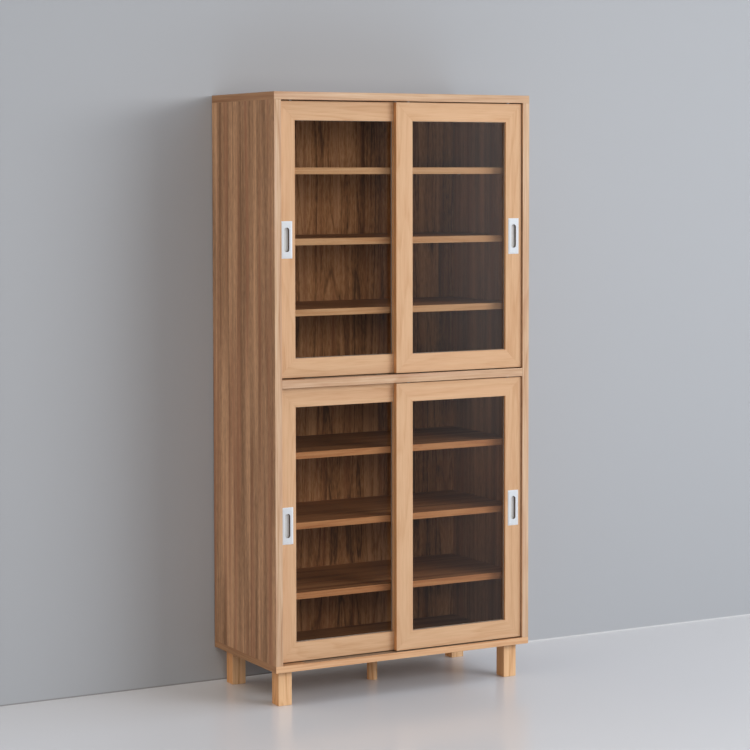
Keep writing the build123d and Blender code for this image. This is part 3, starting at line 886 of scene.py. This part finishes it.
@dataclass
class Studio:
    """A pale floor, a plain wall behind the cabinet, soft light from the front right, and the camera.

    Sizes are in metres where their name doesn't say mm, and turns in degrees.
    """

    wall_y: float = 0.221  # 6 mm behind the cabinet
    floor_half: float = 7.0
    wall_height: float = 5.0
    joint_height_mm: float = 4.0
    joint_change: float = 0.3  # where along the wall the joint's painted shade ends and its painted highlight begins
    air_strength: float = 0.165
    window_strength: float = 1.1
    window_slope: tuple[float, float] = (0.54, 0.61)  # where it begins, as sideways over forwards
    window_sill: tuple[float, float] = (-0.14, -0.05)  # where it begins, as the height of a unit direction
    window_below_sill: float = 0.5
    screen_strength: float = 0.55
    screen_edge: tuple[float, float] = (-0.25, -0.55)  # where it begins, as the part along X
    screen_front: float = -0.35  # how far forwards it reaches, as the part of a direction along Y
    ceiling_strength: float = 0.42
    ceiling_edge: tuple[float, float] = (0.4, 0.6)  # where it begins, as the height of a unit direction
    key: Lamp = Lamp(
        "key", place=(3.15, -4.7, 2.5), size=(3.5, 1.2), power=147.0, colour=(1.0, 0.985, 0.965)
    )
    fill: Lamp = Lamp(
        "fill", place=(-1.39, -4.48, 1.5), size=(1.5, 0.8), power=33.0, colour=(1.0, 0.94, 0.84)
    )
    floor_paint: StudioPaint = StudioPaint("floor_paint_satin", "#DEE3EC", roughness=0.22)
    wall_roughness: float = 0.8
    camera_place: tuple[float, float, float] = (-3.26857, -6.01573, 1.57268)
    camera_turn: tuple[float, float, float] = (86.927, 0.066, -28.990)
    lens_mm: float = 107.27
    sensor_mm: float = 36.0
    shift: tuple[float, float] = (-0.01970, -0.11317)

    def build(self) -> None:
        """Makes the floor, the wall, the lights and the camera."""
        self.floor()
        self.wall()
        self.world()
        self.key.build()
        self.fill.build()
        self.camera()
        LOG.info("studio")

    def plate(
        self, name: str, finish: Finish, corners: Iterable[tuple[float, float, float]]
    ) -> bpy.types.Object:
        """One flat stage piece.

        Args:
            name: The piece's name.
            finish: Its paint.
            corners: Its four corners in order, in metres.

        Returns:
            The piece.
        """
        shape = bmesh.new()
        shape.faces.new([shape.verts.new(corner) for corner in corners])
        mesh = bpy.data.meshes.new(name)
        shape.to_mesh(mesh)
        shape.free()
        mesh.materials.append(finish.material())
        piece = bpy.data.objects.new(name, mesh)
        bpy.context.scene.collection.objects.link(piece)
        return piece

    def floor(self) -> None:
        """The pale floor. The panes don't mirror it, as with a polarising filter."""
        reach = self.floor_half
        corners = ((-reach, -reach, 0), (reach, -reach, 0), (reach, reach, 0), (-reach, reach, 0))
        floor = self.plate("floor", self.floor_paint, corners)
        floor.visible_glossy = False

    def wall(self) -> None:
        """The wall close behind the cabinet. It takes shadows, and neither blocks nor bounces light.

        A thin joint runs along its foot, painted dark on the left as painted shade and pale on the right as a
        painted highlight.
        """
        reach, high, y = self.floor_half, self.wall_height, self.wall_y
        corners = ((-reach, y, 0), (reach, y, 0), (reach, y, high), (-reach, y, high))
        paint = StudioPaint("wall_paint_matt", "#B5B9BF", self.wall_roughness, see_through_from_behind=True)
        pieces = [self.plate("backdrop", paint, corners)]
        front, top = y - MM, self.joint_height_mm * MM
        for name, left, right, colour in (
            # Painted shade along the joint's left part, and a painted highlight along its right part.
            ("joint_painted_shade", -reach, self.joint_change, "#98989B"),
            ("joint_painted_light", self.joint_change, reach, "#DADCDF"),
        ):
            corners = ((left, front, 0), (right, front, 0), (right, front, top), (left, front, top))
            paint = StudioPaint(f"{name}_paint", colour, self.wall_roughness, see_through_from_behind=True)
            pieces.append(self.plate(name, paint, corners))
        for piece in pieces:
            piece.visible_shadow = False
            piece.visible_diffuse = False

    def world(self) -> None:
        """Even light from all round, with a pale ceiling, a warm screen and a tall soft window."""
        world = bpy.data.worlds.new("studio_air")
        bpy.context.scene.world = world
        world.use_nodes = True
        tree = world.node_tree
        tree.nodes.clear()
        way = add(tree, "ShaderNodeTexCoord").outputs["Generated"]
        parts = add(tree, "ShaderNodeSeparateXYZ", {0: way}).outputs
        window, screen = self.window(tree, parts), self.screen(tree, parts)
        low, high = self.ceiling_edge
        ceiling = {0: parts["Z"], 1: low, 2: high, 3: 0.0, 4: self.ceiling_strength}
        ceiling = add(tree, "ShaderNodeMapRange", ceiling).outputs[0]
        light = {"Color": linear("#E6E6E6"), "Strength": self.air_strength}
        light = add(tree, "ShaderNodeBackground", light).outputs[0]
        for patch, colour in ((window, "#E0E7F0"), (screen, "#FFD9A8"), (ceiling, "#E8E6E3")):
            more = add(tree, "ShaderNodeBackground", {"Color": linear(colour), "Strength": patch}).outputs[0]
            light = add(tree, "ShaderNodeAddShader", {0: light, 1: more}).outputs[0]
        add(tree, "ShaderNodeOutputWorld", {"Surface": light})

    def window(self, tree: bpy.types.NodeTree, parts: Any) -> Any:
        """The window at the front right, at full strength above its sill.

        Args:
            tree: The world's node tree.
            parts: The sockets "X", "Y" and "Z" of the direction looked in.

        Returns:
            The socket of the window's strength.
        """
        forwards = add(tree, "ShaderNodeMath", {0: parts["Y"], 1: -1.0}, operation="MULTIPLY").outputs[0]
        slope = add(tree, "ShaderNodeMath", {0: parts["X"], 1: forwards}, operation="DIVIDE").outputs[0]
        low, high = self.window_slope
        beside = {0: slope, 1: low, 2: high, 3: 0.0, 4: self.window_strength}
        beside = add(tree, "ShaderNodeMapRange", beside).outputs[0]
        low, high = self.window_sill
        above = {0: parts["Z"], 1: low, 2: high, 3: self.window_below_sill, 4: 1.0}
        above = add(tree, "ShaderNodeMapRange", above).outputs[0]
        ahead = add(tree, "ShaderNodeMath", {0: forwards, 1: 0.0}, operation="GREATER_THAN").outputs[0]
        window = add(tree, "ShaderNodeMath", {0: beside, 1: ahead}, operation="MULTIPLY").outputs[0]
        return add(tree, "ShaderNodeMath", {0: window, 1: above}, operation="MULTIPLY").outputs[0]

    def screen(self, tree: bpy.types.NodeTree, parts: Any) -> Any:
        """The warm screen at the left and rear.

        Args:
            tree: The world's node tree.
            parts: The sockets "X", "Y" and "Z" of the direction looked in.

        Returns:
            The socket of the screen's strength.
        """
        begins, full = self.screen_edge
        screen = {0: parts["X"], 1: begins, 2: full, 3: 0.0, 4: self.screen_strength}
        screen = add(tree, "ShaderNodeMapRange", screen).outputs[0]
        behind = {0: parts["Y"], 1: self.screen_front}
        behind = add(tree, "ShaderNodeMath", behind, operation="GREATER_THAN").outputs[0]
        return add(tree, "ShaderNodeMath", {0: screen, 1: behind}, operation="MULTIPLY").outputs[0]

    def camera(self) -> None:
        """The camera, with its lens shifted as the framing needs."""
        data = bpy.data.cameras.new("camera")
        data.lens = self.lens_mm
        data.sensor_width = self.sensor_mm
        data.shift_x, data.shift_y = self.shift
        camera = bpy.data.objects.new("camera", data)
        camera.location = self.camera_place
        camera.rotation_euler = Euler([math.radians(angle) for angle in self.camera_turn])
        bpy.context.scene.collection.objects.link(camera)
        bpy.context.scene.camera = camera


def main() -> None:
    """Builds the cabinet's looks and its studio."""
    logging.basicConfig(level=logging.INFO, format="%(message)s")
    bpy.context.scene.view_settings.view_transform = "Standard"
    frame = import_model()
    softener = Softener(frame["nodes"])
    Carcass(softener).build()
    for tier in Tier:
        for side in Side:
            SlidingDoor(softener, tier, side).build()
    Studio().build()


if __name__ == "__main__":
    main()
